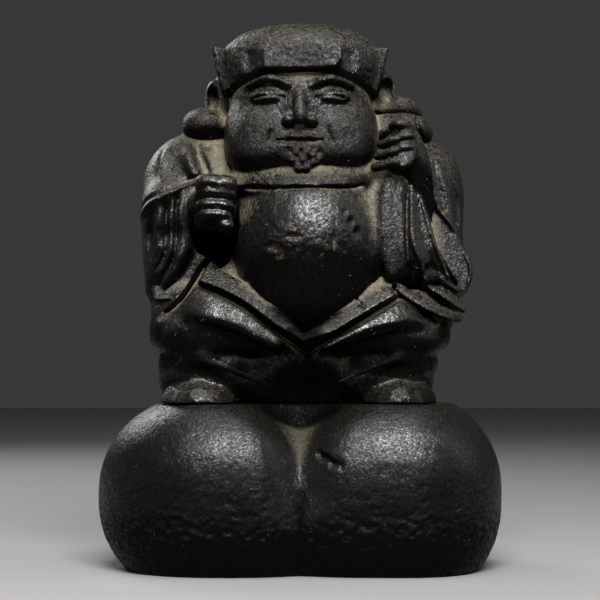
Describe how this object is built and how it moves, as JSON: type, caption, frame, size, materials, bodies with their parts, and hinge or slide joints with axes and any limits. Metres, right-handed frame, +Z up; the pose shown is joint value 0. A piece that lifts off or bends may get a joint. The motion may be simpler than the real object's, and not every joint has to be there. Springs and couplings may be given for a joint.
{
  "type": "daikoku figure",
  "caption": "Carved wooden household figure of the god of plenty, with a sack over the shoulders, standing on rice bales; it stands freely on a shelf.",
  "frame": {"origin": "middle of the bales' underside, on the surface that the figure stands on", "axes": "+Z up, -Y the way the figure faces, +X towards the arm that grips the neck of the sack"},
  "size_m": [0.148, 0.096, 0.1989],
  "materials": {
    "figure_wood": "smoke-blackened, worn to a soft sheen on the high spots, dusty in the hollows",
    "bales_wood": "smoke-blackened, satin"
  },
  "bodies": {
    "root": {"figure": "figure_wood", "rice_bales": "bales_wood"}
  },
  "joints": []
}
